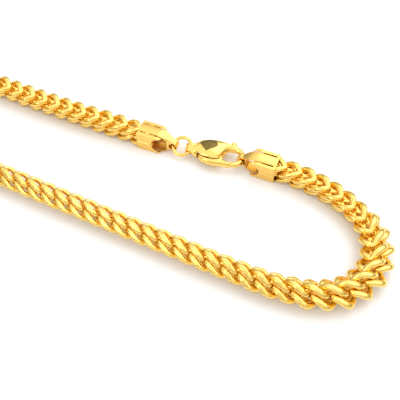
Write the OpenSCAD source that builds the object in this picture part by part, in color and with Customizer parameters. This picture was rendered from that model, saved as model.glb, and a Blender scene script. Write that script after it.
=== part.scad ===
/* [Necklace] */
// Length round the whole closed necklace
necklace_len = 508; // [440:2:620]

/* [Chain] */
// Distance from one link to the next
link_pitch = 3.8; // [3.76:0.02:4.2]
// Width of the chain across its two side faces
chain_w = 4.5; // [4.4:0.05:5]
// Height of the chain between its two V faces
chain_h = 4.6; // [4.5:0.05:5]
// Thickness of the wire that a link is made of
wire_d = 0.88; // [0.7:0.02:0.88]

/* [End caps] */
// Length of a cap from its mouth to the centre of its eye
cap_len = 9.8; // [9:0.1:12]
// Thickness of a cap's sheet metal
cap_wall = 0.3; // [0.25:0.05:0.5]
// Gap between the chain and the inside of a cap
cap_gap = 0.14; // [0.1:0.02:0.3]
// How far the end link reaches into a cap
cap_grip = 1.2; // [0.8:0.1:2]
// Width of the tongue between the two slits
tongue_w = 2.9; // [2.4:0.1:3.4]
// Width of a slit beside the tongue
slit_w = 0.3; // [0.2:0.05:0.5]
// Width of a cap's eye across the tip
eye_w = 1.6; // [1.4:0.1:1.7]
// Outer diameter of a cap's eye
eye_d = 2.7; // [2.7:0.05:2.9]
// Diameter of the solder bead in the window of cap A
bead_d = 0.8; // [0.6:0.1:1]

/* [Jump ring] */
// Outer diameter of the jump ring
ring_od = 5.5; // [5.2:0.1:6.2]
// Thickness of the jump ring's wire
ring_wire = 0.85; // [0.7:0.05:0.9]
// Tilt of the jump ring towards the front
ring_tilt = 22; // [0:1:24]

/* [Clasp] */
// Distance from the tail hole to the middle of the hook's bow
clasp_reach = 13; // [12:0.1:15]
// Width of the clasp's body
clasp_w = 6.4; // [6:0.1:7.4]
// Thickness of the clasp's body
clasp_t = 3.6; // [3.4:0.1:4.2]
// Thickness of the hook's round wire
hook_d = 1.4; // [1.2:0.05:1.45]
// Thickness of the lever
lever_t = 1.7; // [1.4:0.1:1.9]
// Gap between the lever and each cheek of the body
lever_gap = 0.15; // [0.1:0.05:0.3]
// Diameter of the lever's pivot pin
pin_d = 0.8; // [0.6:0.1:1]
// Gap all round the pin in the lever's bore
pin_fit = 0.05; // [0.03:0.01:0.1]
// Height of the middle of the clasp above the table
clasp_z = 2.4; // [2.3:0.1:2.6]

/* [Hidden] */

// Where a table of shares gives a point, its columns are these
X = 0;
Y = 1;
Z = 2;

// A link is a closed ring, the same on its left and right.
// Columns: along as a share of the pitch, then sideways and up as shares of
// the distances from the axis to the wire's centre
LINK_HALF = [
    [0.000, 0.99,  0.253],
    [0.587, 1.00,  1.000],
    [1.434, 0.28,  1.000],
    [1.297, 0.27, -1.000],
    [0.258, 1.00, -0.990],
    [0.034, 0.99, -0.243],
];
// Point of a link that lies on the route, as a share of the pitch
LINK_ANCHOR = 0.6;
WIRE_SIDES = 5;

// Places along the visible part of the route, from the bend beside cap B to
// the straight strand in front, with the eye of cap A near -13, 11
ROUTE_BEND = [[18.8, 14.7], [24.0, 14.0], [29.0, 12.7], [33.4, 10.8], [37.2, 8.3],
              [40.1, 4.9], [41.7, 0.7], [41.8, -3.9], [40.2, -8.2], [37.2, -11.7],
              [33.2, -14.0], [28.6, -15.3], [22.0, -16.1], [12.0, -16.3], [2.0, -16.3]];
// Places on the strand that comes back to cap A
ROUTE_BACK = [[-64, 9.0], [-54, 9.0], [-44, 9.2], [-34, 9.7]];
// Roll of the chain about its own route: columns are the share of the route
// and the roll in degrees
ROLL = [[0, 6], [0.085, 45], [0.30, 45], [0.62, 0], [1, 0]];
roll_b = ROLL[0][1];

// Directions of the pieces of the fastening, in degrees from the x axis
cap_a_dir = 4;
ring_dir = 7;
clasp_dir = 12;
cap_b_dir = 3;

// Distances from the chain's axis to the middle of the wire, and sizes that
// follow from the ones above
half_w = (chain_w - wire_d) / 2;
half_h = (chain_h - wire_d) / 2;
cap_side = max(chain_w, chain_h) + 2 * (cap_gap + cap_wall);
ring_r = (ring_od - ring_wire) / 2;

// Link geometry
function mirror_y(p) = [p[X], -p[Y], p[Z]];
function sized(p) = [(p[X] - LINK_ANCHOR) * link_pitch, p[Y] * half_w, p[Z] * half_h];
function unit(v) = v / norm(v);
half_link = [for (p = LINK_HALF) sized(p)];
last_half = len(half_link) - 1;
link_path = concat(half_link, [for (i = [last_half : -1 : 0]) mirror_y(half_link[i])]);
link_n = len(link_path);
function tangent(i) =
    unit(link_path[(i + 1) % link_n] - link_path[(i + link_n - 1) % link_n]);
function outward(i, t) =
    let (r = unit([0, link_path[i][Y], link_path[i][Z]])) unit(r - (r * t) * t);
link_points = [
    for (i = [0 : link_n - 1])
        let (t = tangent(i), u = outward(i, t), v = cross(t, u))
            for (k = [0 : WIRE_SIDES - 1])
                link_path[i]
                    + wire_d / 2 * (cos(k * 360 / WIRE_SIDES) * u + sin(k * 360 / WIRE_SIDES) * v)
];
link_faces = [
    for (i = [0 : link_n - 1])
        for (k = [0 : WIRE_SIDES - 1])
            let (j = (i + 1) % link_n, m = (k + 1) % WIRE_SIDES)
                [i * WIRE_SIDES + k, j * WIRE_SIDES + k, j * WIRE_SIDES + m, i * WIRE_SIDES + m]
];
reach_back = -min([for (p = link_path) p[X]]) + wire_d / 2;
reach_front = max([for (p = link_path) p[X]]) + wire_d / 2;

// Height of the axis over the table when a link rolled by a lies on it
function roll_height(a) = -min([for (p = link_points) p[Y] * sin(a) + p[Z] * cos(a)]);

// The hook's bow: its radius and its place as shares of the clasp's width, and
// its first angle and sweep in degrees
BOW_R = 0.40;
BOW_Y = -0.04;
BOW_START = -81;
BOW_SWEEP = 176;
// Stud on the clasp's spine, as shares of the reach and the width
STUD = [0.77, 0.53];
STUD_D = 1;

// Places of the fastening, from cap A's eye to cap B's mouth
function heading(a) = [cos(a), sin(a)];
eye_a = [-13, 11.3];
ring_at = eye_a + ring_r * heading(ring_dir);
tail_at = ring_at + ring_r * heading(ring_dir);
function clasp_at(p) = tail_at + p[X] * heading(clasp_dir) + p[Y] * heading(clasp_dir + 90);
bow_r = BOW_R * clasp_w;
bow_at = [clasp_reach - bow_r, BOW_Y * clasp_w];
eye_b = clasp_at([clasp_reach, bow_at[Y]]);
cap_a_z = cap_side / 2;
cap_b_z = cap_side / 2 * (cos(roll_b) + sin(roll_b));
drop_a = cap_a_z - clasp_z;
drop_b = (cap_b_z - clasp_z) / cos(roll_b);
mouth_a = eye_a - cap_len * heading(cap_a_dir);
mouth_b = eye_b + cap_len * heading(cap_b_dir)
    - drop_b * sin(roll_b) * heading(cap_b_dir + 90);

// The route is a smooth curve through its places, two straight strands and a
// half circle at the far end
STEPS = 8;
function smooth(p, i, t) =
    let (a = p[i - 1], b = p[i], c = p[i + 1], d = p[i + 2])
        b + t / 2 * (c - a) + t * t / 2 * (2 * a - 5 * b + 4 * c - d)
        + t * t * t / 2 * (3 * b - a - 3 * c + d);
function smooth_run(p) =
    [for (i = [1 : len(p) - 3]) for (k = [0 : STEPS - 1]) smooth(p, i, k / STEPS)];
lead = 4;
bend_end = ROUTE_BEND[len(ROUTE_BEND) - 1];
bend_places = concat(
    [mouth_b - lead * heading(cap_b_dir), mouth_b], ROUTE_BEND, [bend_end - [12, 0]]);
back_places = concat(
    [ROUTE_BACK[0] - [10, 0]], ROUTE_BACK, [mouth_a, mouth_a + lead * heading(cap_a_dir)]);
front_run = concat(smooth_run(bend_places), [bend_end]);
back_run = concat(smooth_run(back_places), [mouth_a]);
far_r = (ROUTE_BACK[0][1] - bend_end[1]) / 2;
far_y = (ROUTE_BACK[0][1] + bend_end[1]) / 2;
FAR_STEPS = 40;
function far_run(x) =
    [for (k = [0 : FAR_STEPS])
        [x - far_r * sin(180 * k / FAR_STEPS), far_y - far_r * cos(180 * k / FAR_STEPS)]];
function run_len(p) =
    let (steps = [for (i = [1 : len(p) - 1]) norm(p[i] - p[i - 1])])
        steps * [for (step = steps) 1];
far_guess = -100;
guess_len = run_len(concat(front_run, far_run(far_guess), back_run));
fastening_len = 2 * cap_len + 2 * ring_r + clasp_reach;
link_overhang = reach_back + reach_front - 2 * cap_grip;
links = round((necklace_len - fastening_len - link_overhang) / link_pitch) + 1;
route_len = (links - 1) * link_pitch + link_overhang;
far_x = far_guess - (route_len - guess_len) / 2;
route = concat(front_run, far_run(far_x), back_run);
route_n = len(route);
function add_up(steps, i = 0, sum = 0) =
    i >= len(steps) ? [sum] : concat([sum], add_up(steps, i + 1, sum + steps[i]));
along = add_up([for (i = [1 : route_n - 1]) norm(route[i] - route[i - 1])]);
route_x = [for (i = [0 : route_n - 1]) [along[i], route[i][X]]];
route_y = [for (i = [0 : route_n - 1]) [along[i], route[i][Y]]];
function at(s) = [lookup(s, route_x), lookup(s, route_y)];
HEADING_STEP = 1.5;
function yaw(s) =
    let (d = at(min(s + HEADING_STEP, route_len)) - at(max(s - HEADING_STEP, 0)))
        atan2(d[Y], d[X]);
function roll(s) = lookup(s / route_len, ROLL);

// Close to a cap the chain is lifted to the cap's own axis
LIFT_LEN = 22;
lift_b = cap_b_z - roll_height(roll_b);
lift_a = cap_a_z - roll_height(roll(route_len));
function lift(s) =
    lift_b * max(0, 1 - s / LIFT_LEN) + lift_a * max(0, 1 - (route_len - s) / LIFT_LEN);
function link_s(i) = reach_back - cap_grip + i * link_pitch;
links_front = floor(links / 2);

// The frame's origin is under the middle of the chain's box. The far end and
// the bend have other rolls, so each side has its own reach
function turned(p, i) =
    let (s = link_s(i), a = roll(s), w = yaw(s), q = at(s),
         y = p[Y] * cos(a) - p[Z] * sin(a))
        [q[X] + p[X] * cos(w) - y * sin(w), q[Y] + p[X] * sin(w) + y * cos(w)];
chain_x = [for (i = [0 : links - 1]) for (p = link_points) turned(p, i)[X]];
chain_y = [for (i = [0 : links - 1]) for (p = link_points) turned(p, i)[Y]];
cap_b_top = mouth_b[Y] + cap_b_z;
stud_top = clasp_at([STUD[X] * clasp_reach, STUD[Y] * clasp_w])[Y] + STUD_D / 2;
mid_x = (min(chain_x) + max(chain_x)) / 2;
mid_y = (min(chain_y) + max(max(chain_y), cap_b_top, stud_top)) / 2;

module on_table(p, z, turn) {
    translate([p[X] - mid_x, p[Y] - mid_y, z])
        rotate([0, 0, turn])
            children();
}

module link() {
    polyhedron(points = link_points, faces = link_faces);
}

module chain_run(first, last) {
    for (i = [first : last]) {
        s = link_s(i);
        on_table(at(s), roll_height(roll(s)) + lift(s), yaw(s))
            rotate([roll(s), 0, 0])
                link();
    }
}

module chain_front() {
    color("gold")
        chain_run(0, links_front - 1);
}

module chain_back() {
    color("gold")
        chain_run(links_front, links - 1);
}

// An end cap has its eye's centre at the origin and its mouth along -x.
// Its axis is drop above the eye. Shares of its length from the eye: where the
// side walls start to narrow, where only the tongues are left, the end of the
// slits, and where the slits begin
TAPER_AT = 0.40;
TONGUE_AT = 0.26;
SLIT_END = 0.24;
SLIT_START = 0.66;
// How the tongues bend in to the eye: share of the length from the eye, and
// share of the way from the eye's rim out to the cap's face
TONGUE_BEND = [[0.04, 0], [0.10, 0.36], [0.16, 0.66], [0.22, 0.88], [0.29, 1], [1, 1]];
// Window in the side walls: share of the length from the eye, and its
// diameter as a share of the cap's side
WINDOW_AT = 0.32;
WINDOW_D = 0.68;
// Plate behind the end link, and the gap between the two
SEAT_T = 0.6;
SEAT_GAP = 0.15;
// Metal left round the eye, in front of the hollow
EYE_SEAT = 0.1;
// Play of the ring and of the hook in their holes, and width of the clasp's tail
RING_PLAY = 0.25;
HOOK_PLAY = 0.28;
TAIL_W = 2.1;

module cap_plan() {
    side = cap_side / 2;
    half = [[0, eye_w / 2], [-cap_len * TONGUE_AT, tongue_w / 2],
            [-cap_len * TAPER_AT, side], [-cap_len, side]];
    polygon(concat(
        [[eye_d, -eye_w / 2], [eye_d, eye_w / 2]],
        half,
        [for (i = [len(half) - 1 : -1 : 0]) mirror_plan(half[i])]));
}

function mirror_plan(p) = [p[X], -p[Y]];

// Outline of the tongues seen from the side, set in from the cap's faces
module cap_side_view(drop, inset) {
    top = cap_side / 2 - inset;
    eye = eye_d / 2 - inset;
    function edge(p, side) =
        [-cap_len * p[X], p[Y] * (drop + side * top) + (1 - p[Y]) * side * eye];
    last = len(TONGUE_BEND) - 1;
    polygon(concat(
        [for (p = TONGUE_BEND) edge(p, 1)],
        [for (i = [last : -1 : 0]) edge(TONGUE_BEND[i], -1)]));
}

module across(w) {
    rotate([90, 0, 0])
        linear_extrude(height = w, center = true)
            children();
}

// The child is the hole that is cut through the eye
module end_cap(drop) {
    window_x = -cap_len * WINDOW_AT;
    pocket = cap_side - 2 * cap_wall;
    seat_x = -cap_len + cap_grip + SEAT_GAP;
    hollow_end = -eye_d / 2 - EYE_SEAT;
    difference() {
        union() {
            intersection() {
                translate([0, 0, drop - cap_side])
                    linear_extrude(height = 2 * cap_side)
                        cap_plan();
                across(2 * cap_side)
                    cap_side_view(drop, 0);
            }
            across(eye_w)
                circle(d = eye_d, $fn = 48);
        }
        // mouth that the end link sits in
        translate([-cap_len - 1, -pocket / 2, drop - pocket / 2])
            cube([cap_grip + SEAT_GAP + 1, pocket, pocket]);
        // hollow behind the seat, between the side walls
        intersection() {
            translate([seat_x + SEAT_T, -pocket / 2, drop - cap_side])
                cube([hollow_end - seat_x - SEAT_T, pocket, 2 * cap_side]);
            across(2 * cap_side)
                cap_side_view(drop, cap_wall);
        }
        // open sides in front of the side walls
        intersection() {
            across(2 * cap_side)
                cap_side_view(drop, cap_wall);
            translate([window_x, -cap_side, drop - cap_side])
                cube([hollow_end - window_x, 2 * cap_side, 2 * cap_side]);
        }
        translate([window_x, 0, drop])
            across(2 * cap_side)
                circle(d = cap_side * WINDOW_D, $fn = 48);
        // slits on each side of the two tongues
        for (side = [-1, 1])
            translate([-cap_len * SLIT_START, side * tongue_w / 2 - slit_w / 2, drop - cap_side])
                cube([cap_len * (SLIT_START - SLIT_END), slit_w, 2 * cap_side]);
        children();
    }
}

// A straight hole along y for a ring's or a hook's wire
module wire_hole(d) {
    across(3 * eye_w)
        circle(d = d, $fn = 48);
}

function bow_rise(r, w) = r - sqrt(r * r - w * w / 4);
RING_HOLE = ring_wire + 2 * (RING_PLAY + bow_rise(ring_r, TAIL_W));
HOOK_HOLE = hook_d + 2 * (HOOK_PLAY + bow_rise(bow_r, eye_w));

module end_cap_a() {
    color("gold")
        on_table(eye_a, clasp_z, cap_a_dir) {
            end_cap(drop_a)
                rotate([ring_tilt, 0, ring_dir - cap_a_dir])
                    wire_hole(RING_HOLE);
            translate([-cap_len * WINDOW_AT - cap_side * WINDOW_D / 2, -cap_side / 2 + cap_wall, drop_a])
                sphere(d = bead_d, $fn = 32);
        }
}

module end_cap_b() {
    color("gold")
        on_table(eye_b, clasp_z, cap_b_dir + 180)
            rotate([-roll_b, 0, 0])
                end_cap(drop_b)
                    rotate([roll_b, 0, 0])
                        rotate([0, 0, clasp_dir - cap_b_dir])
                            wire_hole(HOOK_HOLE);
}

module jump_ring() {
    color("gold")
        on_table(ring_at, clasp_z, ring_dir)
            rotate([ring_tilt, 0, 0])
                rotate_extrude($fn = 96)
                    translate([ring_r, 0])
                        circle(d = ring_wire, $fn = 48);
}

// The clasp has its tail hole at the origin and its hook along +x
CLASP_OUTLINE = [[0.02, -0.16], [0.02, 0.16], [0.10, 0.26], [0.20, 0.42], [0.30, 0.52],
                 [0.44, 0.54], [0.62, 0.51], [0.80, 0.47], [0.85, 0.42], [0.82, 0.26],
                 [0.76, 0.25], [0.69, 0.14], [0.64, -0.08], [0.62, -0.30], [0.58, -0.39],
                 [0.28, -0.39], [0.17, -0.27]];
LEVER_OUTLINE = [[0.12, -0.24], [0.20, -0.42], [0.30, -0.51], [0.42, -0.55], [0.55, -0.55],
                 [0.66, -0.53], [0.795, -0.515], [0.812, -0.37], [0.72, -0.335], [0.655, -0.27],
                 [0.645, -0.16], [0.55, -0.12], [0.47, -0.17], [0.40, -0.32], [0.28, -0.30],
                 [0.19, -0.22]];
DIAMOND = [[0.20, 0.38], [0.30, 0.50], [0.43, 0.49], [0.52, 0.26], [0.36, -0.02]];
// Lever's pivot and dimple near the tail, as the outlines
PIVOT = [0.55, -0.26];
DIMPLE = [0.146, 0.125];
DIMPLE_D = 0.6;
DIMPLE_DEPTH = 0.1;
PANEL_DEPTH = 0.25;
// Thickness along the body: share of the reach, share of the full thickness
BODY_T = [[-0.15, 0.5], [0.15, 0.85], [0.31, 1], [0.58, 1], [0.77, 0.62], [1.15, 0.5]];
// Knob round the tail hole, the lever's hub and the room round it, and how far
// the pin's ends lie under the cheeks
KNOB_D = 2.7;
HUB_D = 1.9;
HUB_PLAY = 0.25;
PIN_INSET = 0.1;
// Room for the lever: its two ends as shares of the reach, and its inner side
// as a share of the width
ROOM = [0.10, 0.72];
ROOM_Y = -0.05;
function clasp_points(table) = [for (p = table) [p[X] * clasp_reach, p[Y] * clasp_w]];
pivot_at = clasp_points([PIVOT])[0];
dimple_at = clasp_points([DIMPLE])[0];

module clasp_side_view() {
    last = len(BODY_T) - 1;
    function edge(i, side) = [BODY_T[i][X] * clasp_reach, side * BODY_T[i][Y] * clasp_t / 2];
    polygon(concat(
        [for (i = [0 : last]) edge(i, 1)],
        [for (i = [last : -1 : 0]) edge(i, -1)]));
}

module clasp_body_shape() {
    slot = lever_t + 2 * lever_gap;
    difference() {
        union() {
            intersection() {
                linear_extrude(height = clasp_t, center = true)
                    polygon(clasp_points(CLASP_OUTLINE));
                across(3 * clasp_w)
                    clasp_side_view();
            }
            rotate([ring_tilt, 0, 0])
                across(TAIL_W)
                    circle(d = KNOB_D, $fn = 48);
            // round bow of the hook, from the spine to the tip beside the gate
            translate([bow_at[X], bow_at[Y], 0])
                rotate([0, 0, BOW_START])
                    rotate_extrude(angle = BOW_SWEEP, $fn = 96)
                        translate([bow_r, 0])
                            circle(d = hook_d, $fn = 48);
            // small stud on the spine
            translate([STUD[X] * clasp_reach, STUD[Y] * clasp_w, 0])
                cylinder(d = STUD_D, h = STUD_D, center = true, $fn = 32);
        }
        // room for the lever between the two cheeks
        translate([clasp_reach * ROOM[0], -clasp_w, -slot / 2])
            cube([clasp_reach * (ROOM[1] - ROOM[0]), clasp_w * (1 + ROOM_Y), slot]);
        translate([pivot_at[X], pivot_at[Y], -slot / 2])
            cylinder(d = HUB_D + 2 * HUB_PLAY, h = slot, $fn = 48);
        translate([pivot_at[X], pivot_at[Y], 0])
            cylinder(d = pin_d, h = 2 * clasp_t, center = true, $fn = 48);
        rotate([ring_tilt, 0, ring_dir - clasp_dir])
            wire_hole(RING_HOLE);
        // shallow polished panel
        translate([0, 0, clasp_t / 2 - PANEL_DEPTH])
            linear_extrude(height = clasp_t)
                polygon(clasp_points(DIAMOND));
        // dimple near the tail
        translate([dimple_at[X], dimple_at[Y], clasp_t / 2 * BODY_T[1][Y] - DIMPLE_DEPTH])
            cylinder(d = DIMPLE_D, h = clasp_t, $fn = 32);
    }
}

module clasp_body() {
    color("gold")
        on_table(tail_at, clasp_z, clasp_dir)
            clasp_body_shape();
}

module clasp_lever() {
    color("gold")
        on_table(tail_at, clasp_z, clasp_dir)
            difference() {
                union() {
                    linear_extrude(height = lever_t, center = true)
                        polygon(clasp_points(LEVER_OUTLINE));
                    translate([pivot_at[X], pivot_at[Y], 0])
                        cylinder(d = HUB_D, h = lever_t, center = true, $fn = 48);
                }
                translate([pivot_at[X], pivot_at[Y], 0])
                    cylinder(d = pin_d + 2 * pin_fit, h = 2 * lever_t, center = true, $fn = 48);
            }
}

module clasp_pin() {
    color("gold")
        on_table(tail_at, clasp_z, clasp_dir)
            translate([pivot_at[X], pivot_at[Y], 0])
                cylinder(d = pin_d, h = clasp_t - 2 * PIN_INSET, center = true, $fn = 48);
}

chain_front();
chain_back();
end_cap_a();
end_cap_b();
jump_ring();
clasp_body();
clasp_lever();
clasp_pin();
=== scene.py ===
import math

import bpy
import numpy as np
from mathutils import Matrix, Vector


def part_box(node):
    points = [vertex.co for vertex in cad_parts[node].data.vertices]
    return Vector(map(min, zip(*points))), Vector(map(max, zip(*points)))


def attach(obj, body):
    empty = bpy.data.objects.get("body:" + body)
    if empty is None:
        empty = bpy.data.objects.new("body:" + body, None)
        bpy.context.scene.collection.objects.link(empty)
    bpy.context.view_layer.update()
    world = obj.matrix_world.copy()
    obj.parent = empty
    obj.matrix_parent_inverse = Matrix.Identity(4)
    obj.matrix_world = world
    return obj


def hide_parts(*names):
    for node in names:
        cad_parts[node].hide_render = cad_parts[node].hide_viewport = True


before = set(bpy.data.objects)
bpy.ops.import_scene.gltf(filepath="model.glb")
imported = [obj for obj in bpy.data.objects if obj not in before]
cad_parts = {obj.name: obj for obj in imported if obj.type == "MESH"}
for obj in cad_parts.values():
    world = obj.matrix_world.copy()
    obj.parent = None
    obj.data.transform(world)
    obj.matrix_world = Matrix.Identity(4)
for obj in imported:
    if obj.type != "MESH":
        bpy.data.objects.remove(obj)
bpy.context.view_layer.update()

# Lengths are millimetres and angles are degrees, until mesh_piece() turns the
# points into metres. The floor, the lamps and the camera are in metres
MM = 0.001
X, Y, Z = 0, 1, 2
# What points are multiplied by to mirror them sideways, and to turn them upside
# down and back to front
MIRROR = [1, -1, 1]
HALF_TURN = [-1, 1, -1]


def heading(angle):
    """Cosine and sine of an angle, which is also its direction in the plane."""
    a = math.radians(angle)
    return np.array([math.cos(a), math.sin(a)])


def turn_x(points, angle):
    """Points turned about the x axis."""
    c, s = heading(angle)
    x, y, z = np.moveaxis(np.asarray(points, float), -1, 0)
    return np.stack([x, y * c - z * s, y * s + z * c], -1)


def turn_z(points, angle):
    """Points turned about the z axis."""
    c, s = heading(angle)
    x, y, z = np.moveaxis(np.asarray(points, float), -1, 0)
    return np.stack([x * c - y * s, x * s + y * c, z], -1)


def unit(vectors):
    return vectors / np.linalg.norm(vectors, axis=-1, keepdims=True)


def read(table, x, column=1):
    """What a column of a table says at x, which its first column holds."""
    return np.interp(x, table[:, 0], table[:, column])


# Sizes of the necklace, as in the model
PITCH = 3.8
CHAIN_W = 4.5
CHAIN_H = 4.6
WIRE_D = 0.88
CAP_LEN = 9.8
CAP_SIDE = 5.48
CAP_GRIP = 1.2
RING_OD = 5.5
RING_WIRE = 0.85
RING_TILT = 22
CLASP_REACH = 13
CLASP_W = 6.4
CLASP_T = 3.6
CLASP_Z = 2.4
HOOK_D = 1.4
LEVER_T = 1.7
LEVER_GAP = 0.15
PIN_D = 0.8

# Directions of the fastening's pieces
CAP_A_DIR = 4
RING_DIR = 7
CLASP_DIR = 12
CAP_B_DIR = 3

half_w = (CHAIN_W - WIRE_D) / 2
half_h = (CHAIN_H - WIRE_D) / 2
ring_r = (RING_OD - RING_WIRE) / 2

# Places in the plane, measured from the middle of the photographed part
EYE_A = np.array([-13, 11.3])
ring_at = EYE_A + ring_r * heading(RING_DIR)
tail_at = ring_at + ring_r * heading(RING_DIR)
ring_lo, ring_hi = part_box("jump_ring")
ring_mid = (ring_lo + ring_hi) / 2 / MM
mid = ring_at - np.array(ring_mid[:2])


def on_table(points, place, z, angle):
    """Points of a piece, turned and set down at a place of the plane."""
    return turn_z(points, angle) + [place[X] - mid[X], place[Y] - mid[Y], z]


def mesh_piece(name, points, faces, node, materials, body="necklace",
               face_material=None):
    """A smooth mesh that stands for a CAD node and rides its body."""
    mesh = bpy.data.meshes.new(name)
    mesh.from_pydata((np.asarray(points) * MM).tolist(), [], np.asarray(faces).tolist())
    for material in materials:
        mesh.materials.append(material)
    mesh.polygons.foreach_set("use_smooth", [True] * len(mesh.polygons))
    if face_material is not None:
        mesh.polygons.foreach_set("material_index", np.asarray(face_material, np.int32))
    mesh.update()
    piece = bpy.data.objects.new(name, mesh)
    bpy.context.scene.collection.objects.link(piece)
    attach(piece, body)
    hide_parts(node)


# Materials
SHADER = "Principled BSDF"
DRIFT = "drift"
GOLD_DETAIL = 3
# Part of the noise's values over which the polish varies
POLISH_RANGE = (0.3, 0.7)
# Depth of the unevenness
UNEVEN = 0.05


def two_tone(name, colour, shade, scale):
    """A material whose colour drifts to a shade of itself with a noise."""
    material = bpy.data.materials.new(name)
    material.use_nodes = True
    nodes, links = material.node_tree.nodes, material.node_tree.links
    noise = nodes.new("ShaderNodeTexNoise")
    noise.name = DRIFT
    noise.inputs["Scale"].default_value = scale
    tint = nodes.new("ShaderNodeMix")
    tint.data_type = "RGBA"
    tint.inputs["A"].default_value = (*colour, 1)
    tint.inputs["B"].default_value = (*shade, 1)
    links.new(noise.outputs["Fac"], tint.inputs["Factor"])
    links.new(tint.outputs["Result"], nodes[SHADER].inputs["Base Color"])
    return material


def gold(name, colour, shade, rough, bump, scale):
    """Polished gold tone: the polish varies between the two values of rough,
    and the surface is slightly uneven."""
    material = two_tone(name, colour, shade, scale)
    nodes, links = material.node_tree.nodes, material.node_tree.links
    shader, noise = nodes[SHADER], nodes[DRIFT]
    shader.inputs["Metallic"].default_value = 1
    noise.inputs["Detail"].default_value = GOLD_DETAIL
    place = nodes.new("ShaderNodeTexCoord")
    links.new(place.outputs["Object"], noise.inputs["Vector"])
    polish = nodes.new("ShaderNodeMapRange")
    polish.inputs["From Min"].default_value = POLISH_RANGE[0]
    polish.inputs["From Max"].default_value = POLISH_RANGE[1]
    polish.inputs["To Min"].default_value = rough[0]
    polish.inputs["To Max"].default_value = rough[1]
    links.new(noise.outputs["Fac"], polish.inputs["Value"])
    links.new(polish.outputs["Result"], shader.inputs["Roughness"])
    uneven = nodes.new("ShaderNodeBump")
    uneven.inputs["Strength"].default_value = bump
    uneven.inputs["Distance"].default_value = UNEVEN * MM
    links.new(noise.outputs["Fac"], uneven.inputs["Height"])
    links.new(uneven.outputs["Normal"], shader.inputs["Normal"])
    return material


chain_gold = gold("chain_gold", colour=(1.0, 0.72, 0.21), shade=(0.98, 0.66, 0.16),
                  rough=(0.12, 0.20), bump=0.15, scale=900)
facet_gold = gold("facet_gold", colour=(0.88, 0.61, 0.17), shade=(0.78, 0.52, 0.12),
                  rough=(0.12, 0.22), bump=0.3, scale=2500)
cap_gold = gold("cap_gold", colour=(0.96, 0.66, 0.19), shade=(0.92, 0.58, 0.14),
                rough=(0.16, 0.26), bump=0.25, scale=700)
ring_gold = gold("ring_gold", colour=(1.0, 0.70, 0.21), shade=(1.0, 0.64, 0.16),
                 rough=(0.12, 0.18), bump=0.1, scale=900)
clasp_gold = gold("clasp_gold", colour=(0.97, 0.69, 0.20), shade=(0.96, 0.64, 0.16),
                  rough=(0.10, 0.16), bump=0.1, scale=500)
panel_gold = gold("panel_gold", colour=(0.26, 0.19, 0.05), shade=(0.15, 0.11, 0.03),
                  rough=(0.26, 0.36), bump=0.5, scale=3000)
# Painted shade: the inside of the caps is a darker orange, for the shade and the glow of gold on
# gold in their hollows
recess_shade_gold = gold("recess_shade_gold", colour=(0.84, 0.46, 0.08), shade=(0.70, 0.35, 0.05),
                  rough=(0.30, 0.45), bump=0.3, scale=1500)


# Route
# Chosen places of the visible bend and of the strand that comes back to cap A
ROUTE_BEND = [[18.8, 14.7], [24.0, 14.0], [29.0, 12.7], [33.4, 10.8], [37.2, 8.3],
              [40.1, 4.9], [41.7, 0.7], [41.8, -3.9], [40.2, -8.2], [37.2, -11.7],
              [33.2, -14.0], [28.6, -15.3], [22.0, -16.1], [12.0, -16.3], [2.0, -16.3]]
ROUTE_BACK = [[-64, 9.0], [-54, 9.0], [-44, 9.2], [-34, 9.7]]
# How far beyond a run of places its curve aims: at the caps, at the end of the
# bend, and at the start of the strand back
LEAD = 4
BEND_LEAD = 12
BACK_LEAD = 10
# Points of the curve for each place, and of the half circle at the far end
STEPS = 8
FAR_STEPS = 40
# Where the far end is put first, before the length of the chain moves it
FAR_GUESS = -100
LINKS = 124
# Half the length over which a direction or a bend of the route is measured
HEADING_STEP = 1.5
# Roll of the shown chain about its route: share of the route, degrees. On the
# strand to cap A it rolls further than the model's, which lies flat there
ROLL = np.array([[0, 6], [0.085, 45], [0.30, 45], [0.46, 24], [0.965, 24], [1, 0]])
roll_b = ROLL[0][1]
cos_b, sin_b = heading(roll_b)

# Bow of the hook, as shares of the clasp's width and as angles
BOW_R = 0.40
BOW_Y = -0.04
BOW_START = -81
BOW_SWEEP = 176
bow_r = BOW_R * CLASP_W
bow_at = np.array([CLASP_REACH - bow_r, BOW_Y * CLASP_W])

eye_b = tail_at + CLASP_REACH * heading(CLASP_DIR) + bow_at[Y] * heading(CLASP_DIR + 90)
mouth_a = EYE_A - CAP_LEN * heading(CAP_A_DIR)
# The mouth of cap B lies higher than its eye, and as it is rolled, to one side
drop_b = (CAP_SIDE / 2 * (cos_b + sin_b) - CLASP_Z) / cos_b
mouth_b = (eye_b + CAP_LEN * heading(CAP_B_DIR)
           - drop_b * sin_b * heading(CAP_B_DIR + 90))


def between(a, b, c, d, t):
    """Place at share t of the way from b to c, on a smooth curve through the
    four places."""
    return (b + t / 2 * (c - a) + t * t / 2 * (2 * a - 5 * b + 4 * c - d)
            + t ** 3 / 2 * (3 * b - a - 3 * c + d))


def smooth_run(places):
    """Points of a smooth curve through all places but the first and last."""
    p = np.array(places, float)
    return [between(*p[i - 1:i + 3], t)
            for i in range(1, len(p) - 2) for t in np.arange(STEPS) / STEPS]


def step_lengths(points):
    """Distances from each point to the next."""
    return np.linalg.norm(np.diff(points, axis=0), axis=1)


# Half of a link of the model: along as a share of the pitch, sideways and up as
# shares of the distances from the axis to the wire's centre
LINK_HALF = np.array([[0.000, 0.99, 0.253], [0.587, 1.00, 1.000], [1.434, 0.28, 1.000],
                      [1.297, 0.27, -1.000], [0.258, 1.00, -0.990], [0.034, 0.99, -0.243]])
LINK_ANCHOR = 0.6
CAD_SIDES = 5
half_link = (LINK_HALF - [LINK_ANCHOR, 0, 0]) * [PITCH, half_w, half_h]
link_path = np.concatenate([half_link, half_link[::-1] * MIRROR])


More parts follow.
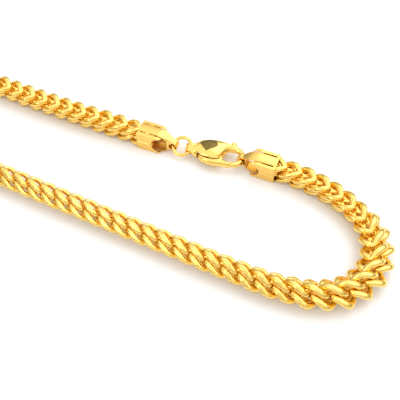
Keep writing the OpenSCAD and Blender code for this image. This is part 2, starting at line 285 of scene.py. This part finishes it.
def model_link(path):
    """Points of the model's link, which say how high a rolled link rests."""
    t = unit(np.roll(path, -1, 0) - np.roll(path, 1, 0))
    r = unit(path * [0, 1, 1])
    u = unit(r - (r * t).sum(1)[:, None] * t)
    v = np.cross(t, u)
    angles = np.arange(CAD_SIDES) * 2 * math.pi / CAD_SIDES
    rim = np.cos(angles)[:, None] * u[:, None] + np.sin(angles)[:, None] * v[:, None]
    return (path[:, None] + WIRE_D / 2 * rim).reshape(-1, 3)


cad_link = model_link(link_path)
reach_back = -link_path[:, X].min() + WIRE_D / 2
reach_front = link_path[:, X].max() + WIRE_D / 2


def roll_height(angle):
    """Height of the axis over the table when a rolled link lies on it."""
    return -turn_x(cad_link, angle)[:, Z].min()


bend_end = np.array(ROUTE_BEND[-1])
back_start = np.array(ROUTE_BACK[0])
front_run = [*smooth_run([mouth_b - LEAD * heading(CAP_B_DIR), mouth_b, *ROUTE_BEND,
                          bend_end - [BEND_LEAD, 0]]), bend_end]
back_run = [*smooth_run([back_start - [BACK_LEAD, 0], *ROUTE_BACK, mouth_a,
                         mouth_a + LEAD * heading(CAP_A_DIR)]), mouth_a]
far_r = (back_start[Y] - bend_end[Y]) / 2
far_y = (back_start[Y] + bend_end[Y]) / 2


def far_run(x):
    """Points of the half circle at the far end, which starts and ends at x."""
    turns = [heading(180 * k / FAR_STEPS) for k in range(FAR_STEPS + 1)]
    return [np.array([x - far_r * s, far_y - far_r * c]) for c, s in turns]


guess_len = step_lengths([*front_run, *far_run(FAR_GUESS), *back_run]).sum()
route_len = (LINKS - 1) * PITCH + reach_back + reach_front - 2 * CAP_GRIP
far_x = FAR_GUESS - (route_len - guess_len) / 2
route = np.array([*front_run, *far_run(far_x), *back_run])
along = np.concatenate([[0], np.cumsum(step_lengths(route))])


def at(s):
    """Place of the route at a distance from its start."""
    return np.array([np.interp(s, along, route[:, X]), np.interp(s, along, route[:, Y])])


def yaw(s):
    """Direction of the route there."""
    d = at(min(s + HEADING_STEP, route_len)) - at(max(s - HEADING_STEP, 0))
    return math.degrees(math.atan2(d[Y], d[X]))


def bend_at(s):
    """Degrees that the route turns there in a millimetre."""
    turn = yaw(s + HEADING_STEP) - yaw(s - HEADING_STEP)
    return abs((turn + 180) % 360 - 180) / (2 * HEADING_STEP)


def roll(s):
    return read(ROLL, s / route_len)


# The shown caps are closer round the links than the model's, and the chain is
# raised to their axes over this length
CAP_SHOWN = 5.1
CAP_SHOWN_LEN = 8.9
LIFT_LEN = 22
cap_half = CAP_SHOWN / 2
shown_a_z = cap_half
shown_b_z = cap_half * (cos_b + sin_b)
lift_b = shown_b_z - roll_height(roll_b)
lift_a = shown_a_z - roll_height(roll(route_len))


def lift(s):
    """How far the chain near a cap is raised to the cap's own axis."""
    return (lift_b * max(0, 1 - s / LIFT_LEN)
            + lift_a * max(0, 1 - (route_len - s) / LIFT_LEN))


# Chain links
# A quarter of a shown link, in millimetres from its place on the route: from the
# tip of the upper V in front, out over the corner, down and back along the side,
# and in to a turn. The wire then runs forward through the middle of the chain to
# the next turn, and a quarter like the first, upside down and back to front,
# leads to the tip of the lower V behind
LINK_QUARTER = np.array([[3.15, 0.18, 1.50], [2.50, 0.78, 1.80], [1.75, 1.44, 1.84],
                         [0.95, 1.80, 1.48], [0.20, 1.90, 1.00], [-0.70, 1.62, 0.42],
                         [-1.45, 1.08, 0.08]])
LINK_MIDDLE = [[0, 0.60, 0]]
LINK_STEPS = 3
LINK_SIDES = 14
SHOWN_D = 1.34
# Planes that cut the flat facets, at the sides, at the V faces and at the corners
SIDE_CUT = 2.24
FACE_CUT = 2.27
CORNER_CUT = 3.96
NOT_CUT, AT_SIDE, AT_FACE, AT_CORNER = range(4)
# Where the route bends, the loose links spread: share of their reach for each
# degree of bend in a millimetre, on the outer and on the inner side
SPREAD_OUT = 0.10
SPREAD_IN = 0.04
# and how much less is cut off them there, in millimetres for each such degree
ROUNDER = 0.07
# Share of the route, how much fuller the shown links are there, and how much
# less is cut off them
FULL = np.array([[0.60, 1, 0], [0.68, 1.06, 0.16], [0.985, 1.06, 0.16], [1, 1, 0.05]])
FULL_SIZE, FULL_LESS = 1, 2


def closed_curve(p, steps):
    """A smooth closed curve through the points and its unit tangents."""
    a, c, d = np.roll(p, 1, 0), np.roll(p, -1, 0), np.roll(p, -2, 0)
    points, ahead = [], []
    for t in np.arange(steps) / steps:
        points.append(between(a, p, c, d, t))
        ahead.append((c - a) / 2 + t * (2 * a - 5 * p + 4 * c - d)
                     + 3 * t * t / 2 * (3 * p - a - 3 * c + d))
    return np.stack(points, 1).reshape(-1, 3), unit(np.stack(ahead, 1).reshape(-1, 3))


def closed_tube(path, t, radius, sides):
    """Points of a round tube along a closed path, [place, side, axis], with as
    little twist as the path allows."""
    normals = [np.cross(t[0], [0, 0, 1])]
    for ahead in [*t[1:], t[0]]:
        normals.append(unit(normals[-1] - (normals[-1] @ ahead) * ahead))
    normals[0] = unit(normals[0])
    last = normals.pop()
    twist = math.atan2(last @ np.cross(t[0], normals[0]), last @ normals[0])
    u = np.array(normals)
    v = np.cross(t, u)
    place = np.arange(len(path))[:, None] / len(path)
    angle = np.arange(sides)[None] * 2 * math.pi / sides - place * twist
    rim = np.cos(angle)[..., None] * u[:, None] + np.sin(angle)[..., None] * v[:, None]
    return path[:, None] + radius * rim


def tube_faces(n, sides):
    """Faces of a closed tube of n rings of points."""
    i, k = np.meshgrid(np.arange(n), np.arange(sides), indexing="ij")
    j, m = (i + 1) % n, (k + 1) % sides
    quad = np.stack([i * sides + k, j * sides + k, j * sides + m, i * sides + m], -1)
    return quad.reshape(-1, 4)


def shown_link(less):
    """Points and faces of one link, and which of its faces are cut flat. Its
    facets lie further out by less."""
    half = np.concatenate([LINK_QUARTER, LINK_MIDDLE, LINK_QUARTER[::-1] * HALF_TURN])
    path, t = closed_curve(np.concatenate([half, half[::-1] * MIRROR]), LINK_STEPS)
    points = closed_tube(path, t, SHOWN_D / 2, LINK_SIDES)
    y, z = points[..., Y], points[..., Z]
    over = np.maximum((np.abs(y) + np.abs(z) - CORNER_CUT - less) / 2, 0)
    cut = np.where(over > 0, AT_CORNER, NOT_CUT)
    y, z = y - over * np.sign(y), z - over * np.sign(z)
    side, face = SIDE_CUT + less, FACE_CUT + less
    cut = np.where(np.abs(y) > side, AT_SIDE, np.where(np.abs(z) > face, AT_FACE, cut))
    points[..., Y] = np.clip(y, -side, side)
    points[..., Z] = np.clip(z, -face, face)
    quad = tube_faces(len(path), LINK_SIDES)
    flat = cut.reshape(-1)[quad]
    is_facet = (flat.min(1) == flat.max(1)) & (flat.min(1) > NOT_CUT)
    return points.reshape(-1, 3), quad, is_facet


def chain(name, node, first, last):
    """The shown links from first to the one before last, as one piece."""
    points, faces, facets = [], [], []
    for i in range(first, last):
        far_s = reach_back - CAP_GRIP + i * PITCH
        s = min(max(far_s, 0), route_len)
        full = read(FULL, s / route_len, FULL_SIZE)
        bend = bend_at(s)
        less = read(FULL, s / route_len, FULL_LESS) + ROUNDER * bend
        link_points, link_faces, link_facets = shown_link(less)
        rolled = turn_x(link_points * [1, full, full], roll(s))
        rolled[:, Y] *= 1 + bend * np.where(rolled[:, Y] > 0, SPREAD_OUT, SPREAD_IN)
        faces.append(link_faces + len(link_points) * len(points))
        # A link beyond an end of the route goes straight on from it
        place = at(s) + (far_s - s) * heading(yaw(s))
        height = max(roll_height(roll(s)) * full + lift(s), -rolled[:, Z].min())
        points.append(on_table(rolled, place, height, yaw(s)))
        facets.append(link_facets)
    mesh_piece(name, np.concatenate(points), np.concatenate(faces), node,
               [chain_gold, facet_gold], face_material=np.concatenate(facets))


# One more link at each end than in the model fills the caps' mouths
chain("links_front", "chain_front", -1, LINKS // 2)
chain("links_back", "chain_back", LINKS // 2, LINKS + 1)


# Jump ring
RING_AROUND = 96
RING_SIDES = 24


def torus(radius, wire, around, sides):
    """Points and faces of a ring of round wire, flat on the plane."""
    a = np.arange(around) * 2 * math.pi / around
    b = np.arange(sides) * 2 * math.pi / sides
    a, b = np.meshgrid(a, b, indexing="ij")
    reach = radius + wire / 2 * np.cos(b)
    points = np.stack([reach * np.cos(a), reach * np.sin(a), wire / 2 * np.sin(b)], -1)
    return points.reshape(-1, 3), tube_faces(around, sides)


ring_points, ring_faces = torus(ring_r, RING_WIRE, RING_AROUND, RING_SIDES)
mesh_piece("ring", on_table(turn_x(ring_points, RING_TILT), ring_at, CLASP_Z, RING_DIR),
           ring_faces, "jump_ring", [ring_gold])


# Solids as fields, which are negative inside a solid and positive outside it
OUTLINE_STEPS = 4
# Where x, y and z are among a grid's axes when one of them has been put first
AXES_BACK = ([0, 1, 2], [1, 0, 2], [1, 2, 0])


def beside(cells, dj, dk, edges):
    """The cells on one of the four sides of each of a grid's inner edges."""
    n1, n2 = edges.shape[1:]
    return cells[:, 1 - dj:1 - dj + n1, 1 - dk:1 - dk + n2]


def surface(field, low, high, step):
    """Points and faces of the closed surface on which a field is zero, from its
    values on a grid of that step. Each grid cell that the surface crosses has
    one point, in the middle of the crossings on the cell's edges."""
    axes = [np.arange(a, b + step, step) for a, b in zip(low, high)]
    value = field(axes[0][:, None, None], axes[1][None, :, None], axes[2][None, None, :])
    value = np.broadcast_to(value, [len(a) for a in axes])
    cells = [n - 1 for n in value.shape]
    total = np.zeros([*cells, 3])
    count = np.zeros(cells, int)
    crossings = []
    for axis in range(3):
        v = np.moveaxis(value, axis, 0)[:, 1:-1, 1:-1]
        a, b = v[:-1], v[1:]
        cross = (a < 0) != (b < 0)
        share = np.where(cross, a / np.where(cross, a - b, 1), 0)
        index = np.indices(cross.shape).astype(float) + np.array([0, 1, 1])[:, None, None, None]
        index[0] += share
        place = np.moveaxis(index, 0, -1)[..., AXES_BACK[axis]]
        for dj, dk in ((0, 0), (0, 1), (1, 0), (1, 1)):
            beside(np.moveaxis(total, axis, 0), dj, dk, cross)[...] += place * cross[..., None]
            beside(np.moveaxis(count, axis, 0), dj, dk, cross)[...] += cross
        crossings.append((axis, cross, a < 0))
    used = count > 0
    number = np.full(cells, -1)
    number[used] = np.arange(used.sum())
    points = total[used] / count[used][:, None] * step + np.array(low)
    faces = []
    for axis, cross, inside in crossings:
        numbers = np.moveaxis(number, axis, 0)
        quad = np.stack([beside(numbers, dj, dk, cross)[cross]
                         for dj, dk in ((1, 1), (0, 1), (0, 0), (1, 0))], -1)
        # With y put first the grid is mirrored, and so are the faces
        flip = inside[cross] ^ (axis == Y)
        faces.append(np.where(flip[:, None], quad, quad[:, ::-1]))
    return points, np.concatenate(faces)


def smooth_min(a, b, k):
    """Two solids as one, with a fillet of about k where they meet."""
    h = np.clip(0.5 + (b - a) / (2 * k), 0, 1)
    return b + (a - b) * h - k * h * (1 - h)


def smooth_max(a, b, k):
    """What two solids share, with its edge rounded by about k."""
    return -smooth_min(-a, -b, k)


def shared(*fields):
    """What all the solids share."""
    return np.maximum.reduce(np.broadcast_arrays(*fields))


def without(solid, *hollows):
    """A solid with hollows cut from it."""
    for hollow in hollows:
        solid = np.maximum(solid, -hollow)
    return solid


def disc(x, y, middle, d):
    """Endless round bar, square to the plane."""
    return np.hypot(x - middle[X], y - middle[Y]) - d / 2


def ball(x, y, z, middle, d):
    return np.sqrt((x - middle[X]) ** 2 + (y - middle[Y]) ** 2 + (z - middle[Z]) ** 2) - d / 2


def pillow(distance, z, half, edge):
    """Domed slab in an outline: half is its half thickness well inside, and edge
    how far in from the outline its dome reaches."""
    q = np.clip(1 + distance / edge, 0, None)
    return (np.sqrt((z / half) ** 2 + q ** 2) - 1) * np.minimum(half, edge)


def tilted(x, y, z, angle):
    """The grid seen from axes that are turned about x."""
    c, s = heading(angle)
    return x, y * c + z * s, z * c - y * s


def outline_distance(outline, x, y):
    """Distance to a closed outline, negative inside it."""
    x, y = np.broadcast_arrays(x, y)
    near = np.full(x.shape, np.inf)
    inside = np.zeros(x.shape, bool)
    for a, b in zip(outline, np.roll(outline, -1, 0)):
        e = b - a
        t = np.clip(((x - a[X]) * e[X] + (y - a[Y]) * e[Y]) / (e @ e), 0, 1)
        near = np.minimum(near, np.hypot(x - a[X] - t * e[X], y - a[Y] - t * e[Y]))
        if a[Y] != b[Y]:
            side = (a[Y] > y) != (b[Y] > y)
            inside ^= side & (x < a[X] + (y - a[Y]) / (b[Y] - a[Y]) * e[X])
    return np.where(inside, -near, near)


def bar(outline, x, y):
    """Endless bar with that outline, square to the plane."""
    return outline_distance(outline, x[..., 0], y[..., 0])[..., None]


def rounded(outline):
    """A smooth closed outline through the given points."""
    flat = np.column_stack([outline, np.zeros(len(outline))])
    return closed_curve(flat, OUTLINE_STEPS)[0][:, :2]


# Clasp
# Its tail eye's centre is at the origin and its hook along +x. The shown clasp
# is this much fuller than the model's
FULLER = 1.08


def in_clasp(table):
    """Places in the clasp: along as a share of the reach, sideways as a share
    of the width."""
    return np.array(table) * [CLASP_REACH, CLASP_W * FULLER]


CLASP_OUTLINE = in_clasp([[-0.01, -0.18], [-0.01, 0.18], [0.07, 0.28], [0.16, 0.42],
                          [0.27, 0.53], [0.42, 0.56], [0.60, 0.53], [0.78, 0.48],
                          [0.85, 0.42], [0.82, 0.27], [0.76, 0.25], [0.69, 0.14],
                          [0.64, -0.08], [0.61, -0.32], [0.56, -0.42], [0.42, -0.44],
                          [0.24, -0.40], [0.12, -0.30]])
LEVER_OUTLINE = in_clasp([[0.165, -0.29], [0.21, -0.42], [0.30, -0.51], [0.42, -0.55],
                          [0.55, -0.55], [0.66, -0.53], [0.795, -0.515], [0.812, -0.37],
                          [0.72, -0.335], [0.655, -0.27], [0.645, -0.16], [0.55, -0.12],
                          [0.47, -0.17], [0.40, -0.32], [0.28, -0.30], [0.20, -0.25]])
DIAMOND = in_clasp([[0.13, 0.20], [0.24, 0.52], [0.42, 0.56], [0.50, 0.12], [0.31, -0.20]])
DIMPLE = in_clasp([[0.115, 0.04]])[0]
PIVOT = in_clasp([[0.55, -0.26]])[0]
STUD = in_clasp([[0.77, 0.55]])[0]
# Half thickness along the clasp: place in millimetres, share of the full half
BODY_T = np.array([[-2, 0.62], [0, 0.72], [2, 0.90], [3.5, 0.98], [5, 1], [6.5, 0.98],
                   [8, 0.90], [9.5, 0.76], [11, 0.64], [13, 0.55], [15, 0.5]])
BODY_EDGE = 2.3
LEVER_EDGE = 0.6
PANEL_DEPTH = 0.16
DIMPLE_D = 0.62
DIMPLE_DEPTH = 0.25
STUD_D = 1.4
TAIL_W = 2.1
KNOB_D = 2.7
HUB_D = 1.9
# Lever's slot: its ends as shares of the reach, its upper side of the width
SLOT_START = 0.15
SLOT_END = 0.72
SLOT_TOP = -0.05
# Room round the jump ring, round the lever's hub and round the pin
RING_ROOM = 0.25
HUB_ROOM = 0.25
PIN_ROOM = 0.05
# Fillets where the bow, the tail's knob, the stud and the lever's hub join on
BOW_FILLET = 0.9
KNOB_FILLET = 0.5
STUD_FILLET = 0.15
HUB_FILLET = 0.1
# The panel and the dimple are sunk in the top only, above this height
TOP_FROM = 0.2
# The panel's dark faces start at this height, and this far inside its outline
DARK_FROM = 0.3
DARK_INSIDE = 0.02
# Boxes that the surfaces are looked for in, and the step of their grids
BODY_GRID = (-2, -4.4, -2.3), (15, 4.6, 2.3)
LEVER_GRID = (0, -4.6, -1.3), (12, 0, 1.3)
NET = 0.1
body_half = CLASP_T / 2 * FULLER


def ring_hole(x, y, z):
    """Round hole of the tail, with room for the jump ring's bent wire."""
    x, y, z = tilted(x, y, z, RING_TILT)
    rise = ring_r - math.sqrt(ring_r ** 2 - TAIL_W ** 2 / 4)
    return np.hypot(x, z) - (RING_WIRE / 2 + RING_ROOM + rise)


def knob_field(x, y, z):
    """Round knob of the tail, along the jump ring's wire."""
    x, y, z = tilted(x, y, z, RING_TILT)
    return np.maximum(np.hypot(x, z) - KNOB_D / 2, np.abs(y) - TAIL_W / 2)


def bow_field(x, y, z):
    """The hook, of round wire along an arc."""
    turn = np.arctan2(y - bow_at[Y], x - bow_at[X])
    middle = math.radians(BOW_START + BOW_SWEEP / 2)
    half_sweep = math.radians(BOW_SWEEP / 2)
    turn = np.clip((turn - middle + math.pi) % (2 * math.pi) - math.pi,
                   -half_sweep, half_sweep) + middle
    return np.sqrt((x - bow_at[X] - bow_r * np.cos(turn)) ** 2
                   + (y - bow_at[Y] - bow_r * np.sin(turn)) ** 2 + z ** 2) - HOOK_D / 2


def sunk(solid, shape, depth, z):
    """The part of an endless bar that lies in the top skin of a solid."""
    return np.maximum(np.maximum(shape, -depth - solid), TOP_FROM - z)


def body_field(x, y, z):
    body = pillow(bar(rounded(CLASP_OUTLINE), x, y), z, read(BODY_T, x) * body_half, BODY_EDGE)
    solid = smooth_min(body, bow_field(x, y, z), BOW_FILLET)
    solid = smooth_min(solid, knob_field(x, y, z), KNOB_FILLET)
    solid = smooth_min(solid, ball(x, y, z, [*STUD, 0], STUD_D), STUD_FILLET)
    in_slot = np.abs(z) - LEVER_T / 2 - LEVER_GAP
    slot = shared(in_slot, x - CLASP_REACH * SLOT_END, CLASP_REACH * SLOT_START - x,
                  y - CLASP_W * SLOT_TOP)
    hub = np.maximum(disc(x, y, PIVOT, HUB_D) - HUB_ROOM, in_slot)
    panel = sunk(solid, bar(DIAMOND, x, y), PANEL_DEPTH, z)
    dimple = sunk(solid, disc(x, y, DIMPLE, DIMPLE_D), DIMPLE_DEPTH, z)
    return without(solid, slot, hub, ring_hole(x, y, z), panel, dimple)


def lever_field(x, y, z):
    arm = pillow(bar(rounded(LEVER_OUTLINE), x, y), z, LEVER_T / 2, LEVER_EDGE)
    hub = np.maximum(disc(x, y, PIVOT, HUB_D), np.abs(z) - LEVER_T / 2)
    bore = disc(x, y, PIVOT, PIN_D) - PIN_ROOM
    return without(smooth_min(arm, hub, HUB_FILLET), bore)


def on_clasp(points):
    """Points of the clasp, set down behind the jump ring."""
    return on_table(points, tail_at, CLASP_Z, CLASP_DIR)


body_points, body_faces = surface(body_field, *BODY_GRID, NET)
face_mid = body_points[body_faces].mean(1)
in_panel = outline_distance(DIAMOND, face_mid[:, X], face_mid[:, Y]) < -DARK_INSIDE
in_panel &= face_mid[:, Z] > DARK_FROM
mesh_piece("clasp_shell", on_clasp(body_points), body_faces, "clasp_body",
           [clasp_gold, panel_gold], face_material=in_panel)

lever_points, lever_faces = surface(lever_field, *LEVER_GRID, NET)
mesh_piece("lever_arm", on_clasp(lever_points), lever_faces, "clasp_lever",
           [clasp_gold], body="lever")


# End caps
# A cap has its eye's centre at the origin and its mouth along -x. Places along
# it are shares of its length from the eye
EYE_D = 2.7
EYE_W = 1.6
EYE_FILLET = 0.2
CAP_WALL = 0.32
CAP_ROUND = 0.35
# The hollow starts this far behind the eye
HOLLOW_GAP = 0.1
# The tongue, and how much its middle is crowned
TONGUE_W = 3.0
TONGUE_CROWN = 0.16
# Outline from the side: place, share of the way from the eye's outline to the
# cap's own. Outline from above: place, half width in millimetres
TONGUE_BEND = np.array([[-1, 0], [0.02, 0], [0.08, 0.22], [0.15, 0.47], [0.23, 0.72],
                        [0.31, 0.89], [0.39, 0.97], [0.48, 1], [2, 1]])
CAP_PLAN = np.array([[-1, EYE_W / 2], [0.04, EYE_W / 2], [0.24, TONGUE_W / 2],
                     [0.34, cap_half], [2, cap_half]])
# Slits beside the tongue, from near the mouth to near the eye
SLIT_W = 0.32
SLIT_START = 0.93
SLIT_END = 0.12
SLIT_DEPTH = 0.5
# Wall across the cap, behind the last link
SEAT_AT = 0.72
SEAT_T = 0.6
# Window in the sides, open to the eye: where its round end starts, how long that
# is, and how much metal stays above and below it
WINDOW_AT = 0.29
WINDOW_LEN = 0.27
WINDOW_RIM = 0.36
# Seam along the sides, from the mouth to SEAM_END
SEAM_W = 0.22
SEAM_DEPTH = 0.14
SEAM_END = 0.5
# Bead of solder at the window's round end
BEAD_D = 0.95
# Holes in the eyes, for the jump ring and for the hook
RING_HOLE = 1.85
HOOK_HOLE = 2.2
# Share of the wall from which on a face has the painted shade tone, a darker orange that stands
# in for the shade and the glow of gold on gold inside the cap
PAINTED_SHADE_FROM = 0.6
# Step of the grid, and its margin round the cap
CAP_NET = 0.09
CAP_MARGIN = 0.3


def cap_outer(x, y, z, drop):
    """A cap without hollows, and its outlines from the side and from above. Its
    axis lies higher than its eye by drop."""
    bend = read(TONGUE_BEND, -x / CAP_SHOWN_LEN)
    rim = EYE_D / 2
    crown = TONGUE_CROWN * np.clip(1 - (2 * y / TONGUE_W) ** 2, 0, None)
    side = np.maximum(z - (bend * (drop + cap_half + crown) + (1 - bend) * rim),
                      bend * (drop - cap_half) - (1 - bend) * rim - z)
    plan = np.abs(y) - read(CAP_PLAN, -x / CAP_SHOWN_LEN)
    ends = np.maximum(-CAP_SHOWN_LEN - x, x)
    return np.maximum(smooth_max(side, plan, CAP_ROUND), ends), side, plan


def window_field(x, z, drop):
    """Endless bar across the cap's sides, round at its end and open to the eye."""
    at_x = -CAP_SHOWN_LEN * WINDOW_AT
    high = cap_half - WINDOW_RIM
    end = (np.hypot((x - at_x) / (CAP_SHOWN_LEN * WINDOW_LEN), (z - drop) / high) - 1) * high
    return np.minimum(end, at_x - x)


def cap_field(x, y, z, drop, axis, hole, bead):
    """A cap whose eye has a hole along an axis, with or without a bead at the
    end of its window."""
    outer, side, plan = cap_outer(x, y, z, drop)
    eye = np.maximum(np.hypot(x, z) - EYE_D / 2, np.abs(y) - EYE_W / 2)
    solid = smooth_min(outer, eye, EYE_FILLET)
    inner = shared(side + CAP_WALL, x + EYE_D / 2 + HOLLOW_GAP)
    seat = np.abs(x + CAP_SHOWN_LEN * SEAT_AT) - SEAT_T / 2
    hollow = without(shared(inner, plan + CAP_WALL), seat)
    window = shared(window_field(x, z, drop), inner)
    slit = shared(np.abs(np.abs(y) - TONGUE_W / 2) - SLIT_W / 2, -CAP_SHOWN_LEN * SLIT_START - x,
                  x + CAP_SHOWN_LEN * SLIT_END, -side - SLIT_DEPTH)
    seam = shared(np.abs(z - drop) - SEAM_W / 2, -plan - SEAM_DEPTH, x + CAP_SHOWN_LEN * SEAM_END)
    there = x * axis[X] + y * axis[Y] + z * axis[Z]
    wire = np.sqrt(x ** 2 + y ** 2 + z ** 2 - there ** 2) - hole / 2
    solid = without(solid, hollow, window, slit, seam, wire)
    if bead:
        bead_at = [-CAP_SHOWN_LEN * (WINDOW_AT + WINDOW_LEN), CAP_WALL - cap_half, drop]
        solid = np.minimum(solid, ball(x, y, z, bead_at, BEAD_D))
    return solid


def end_cap(name, node, drop, axis, hole, bead, roll_angle, place, direction):
    """A cap whose eye lies at a place, rolled about its own axis."""
    def field(x, y, z):
        return cap_field(x, y, z, drop, axis, hole, bead)

    low = np.array([-CAP_SHOWN_LEN, -cap_half, drop - cap_half]) - CAP_MARGIN
    high = np.array([EYE_D / 2, cap_half, drop + cap_half]) + CAP_MARGIN
    points, faces = surface(field, low, high, CAP_NET)
    middle = points[faces].mean(1)
    depth = cap_outer(middle[:, X], middle[:, Y], middle[:, Z], drop)[0]
    # Faces deep inside the cap's hollow get the painted shade tone
    inside = (depth < -PAINTED_SHADE_FROM * CAP_WALL) & (middle[:, X] < -EYE_D / 2)
    mesh_piece(name, on_table(turn_x(points, roll_angle), place, CLASP_Z, direction), faces,
               node, [cap_gold, recess_shade_gold], face_material=inside)


across = np.array([0, 1, 0])
ring_axis = turn_z(turn_x(across, RING_TILT), RING_DIR - CAP_A_DIR)
hook_axis = turn_x(turn_z(across, CLASP_DIR - CAP_B_DIR), roll_b)
end_cap("cap_a", "end_cap_a", drop=shown_a_z - CLASP_Z, axis=ring_axis, hole=RING_HOLE,
        bead=True, roll_angle=0, place=EYE_A, direction=CAP_A_DIR)
end_cap("cap_b", "end_cap_b", drop=(shown_b_z - CLASP_Z) / cos_b, axis=hook_axis,
        hole=HOOK_HOLE, bead=False, roll_angle=-roll_b, place=eye_b, direction=CAP_B_DIR + 180)


# The pin is shown as it is in the model
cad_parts["clasp_pin"].data.materials.clear()
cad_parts["clasp_pin"].data.materials.append(clasp_gold)


# Floor
FLOOR_HALF = 3
FLOOR_TONES = (0.93, 0.93, 0.94), (0.95, 0.95, 0.95)
FLOOR_SCALE = 40
FLOOR_ROUGH = 0.6
FLOOR_SHINE = 0.2


def floor():
    mesh = bpy.data.meshes.new("floor")
    r = FLOOR_HALF
    mesh.from_pydata([(-r, -r, 0), (r, -r, 0), (r, r, 0), (-r, r, 0)], [], [(0, 1, 2, 3)])
    material = two_tone("floor_white", *FLOOR_TONES, FLOOR_SCALE)
    shader = material.node_tree.nodes[SHADER]
    shader.inputs["Specular IOR Level"].default_value = FLOOR_SHINE
    shader.inputs["Roughness"].default_value = FLOOR_ROUGH
    mesh.materials.append(material)
    piece = bpy.data.objects.new("floor", mesh)
    bpy.context.scene.collection.objects.link(piece)


floor()


# Light and camera
# The place in the middle of the picture, which the lamps and the camera face
AIM = (0.077217, 0.000779, 0)
CAMERA_AT = (0.122406, -0.089586, 0.12388)
CAMERA_LENS = 61.2
CAMERA_SENSOR = 36
CAMERA_CLIP = 0.005
# The sky: its colour from the horizon down, its colour from a height up, that
# height as the sine of its angle, and the strength
HORIZON = (0.17, 0.155, 0.135, 1)
SKY = (0.80, 0.80, 0.80, 1)
SKY_FROM = 0.75
SKY_STRENGTH = 1.57


def put_facing(thing, place):
    """Puts a lamp or camera at a place and turns it towards AIM."""
    thing.location = place
    thing.rotation_mode = "QUATERNION"
    thing.rotation_quaternion = (Vector(AIM) - Vector(place)).to_track_quat("-Z", "Y")
    bpy.context.scene.collection.objects.link(thing)


def lamp(name, place, size, power, colour):
    data = bpy.data.lights.new(name, "AREA")
    data.shape = "DISK"
    data.size = size
    data.energy = power
    data.color = colour
    put_facing(bpy.data.objects.new(name, data), place)


def sky():
    world = bpy.data.worlds.new("studio")
    bpy.context.scene.world = world
    world.use_nodes = True
    nodes, links = world.node_tree.nodes, world.node_tree.links
    back = nodes["Background"]
    coord = nodes.new("ShaderNodeTexCoord")
    split = nodes.new("ShaderNodeSeparateXYZ")
    ramp = nodes.new("ShaderNodeValToRGB")
    low, high = ramp.color_ramp.elements
    low.position = 0
    low.color = HORIZON
    high.position = SKY_FROM
    high.color = SKY
    links.new(coord.outputs["Generated"], split.inputs["Vector"])
    links.new(split.outputs["Z"], ramp.inputs["Fac"])
    links.new(ramp.outputs["Color"], back.inputs["Color"])
    back.inputs["Strength"].default_value = SKY_STRENGTH


lamp("key", place=(0.277, 0.347, 0.512), size=0.8, power=1.7, colour=(1, 0.98, 0.95))
lamp("front", place=(-0.12, -0.40, 0.33), size=0.22, power=0.32, colour=(1, 0.97, 0.92))
sky()

camera_data = bpy.data.cameras.new("camera")
camera_data.lens = CAMERA_LENS
camera_data.sensor_width = CAMERA_SENSOR
camera_data.clip_start = CAMERA_CLIP
camera = bpy.data.objects.new("camera", camera_data)
put_facing(camera, CAMERA_AT)
bpy.context.scene.camera = camera
bpy.context.scene.view_settings.view_transform = "Standard"

bpy.context.view_layer.update()
